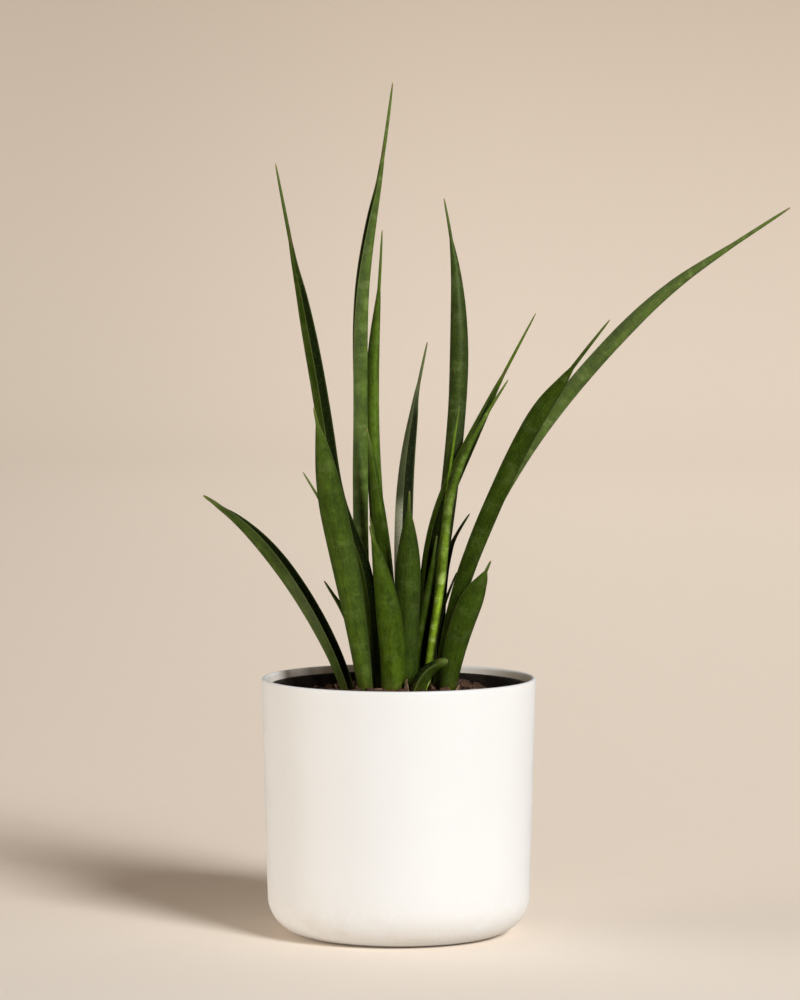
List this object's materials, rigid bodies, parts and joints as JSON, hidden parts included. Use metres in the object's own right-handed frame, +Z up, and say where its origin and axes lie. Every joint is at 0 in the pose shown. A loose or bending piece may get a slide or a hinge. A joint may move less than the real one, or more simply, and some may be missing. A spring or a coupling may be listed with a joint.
{
  "type": "cylindrical snake plant",
  "caption": "Potted cylindrical snake plant with stiff channelled upright leaves in a grower's pot, standing in a plain white cover pot.",
  "frame": {"origin": "centre of the cover pot's flat underside, on the surface that it stands on", "axes": "+Z up along the pot's axis, -Y towards the side that the picture shows, +X to its right, where the longest leaf arches out"},
  "size_m": [0.38, 0.18, 0.558],
  "materials": {
    "pot_glaze": "satin warm white glaze on ceramic",
    "pot_plastic": "matt black moulded plastic",
    "bark_mix": "loose reddish brown bark chips and fines",
    "rhizome_skin": "dull orange brown skin",
    "leaf": "satin deep green skin with soft darker cross bands"
  },
  "bodies": {
    "root": {"cover_pot": "pot_glaze", "nursery_pot": "pot_plastic", "soil": "bark_mix", "rhizome": "rhizome_skin", "leaf_left_arching": "leaf", "leaf_left_tall": "leaf", "leaf_left_broad": "leaf", "leaf_left_spike": "leaf", "leaf_left_sprout": "leaf", "leaf_rear_tallest": "leaf", "leaf_rear_tall": "leaf", "leaf_rear_slim": "leaf", "leaf_front_stout": "leaf", "leaf_front_inner": "leaf", "leaf_front_sword": "leaf", "leaf_front_curled": "leaf", "leaf_centre_grey": "leaf", "leaf_centre_tall": "leaf", "leaf_centre_thread": "leaf", "leaf_centre_small": "leaf", "leaf_centre_banded": "leaf", "leaf_centre_channelled": "leaf", "leaf_centre_dark": "leaf", "leaf_centre_sprig": "leaf", "leaf_right_arching": "leaf", "leaf_right_nested": "leaf", "leaf_right_short": "leaf"}
  },
  "joints": []
}
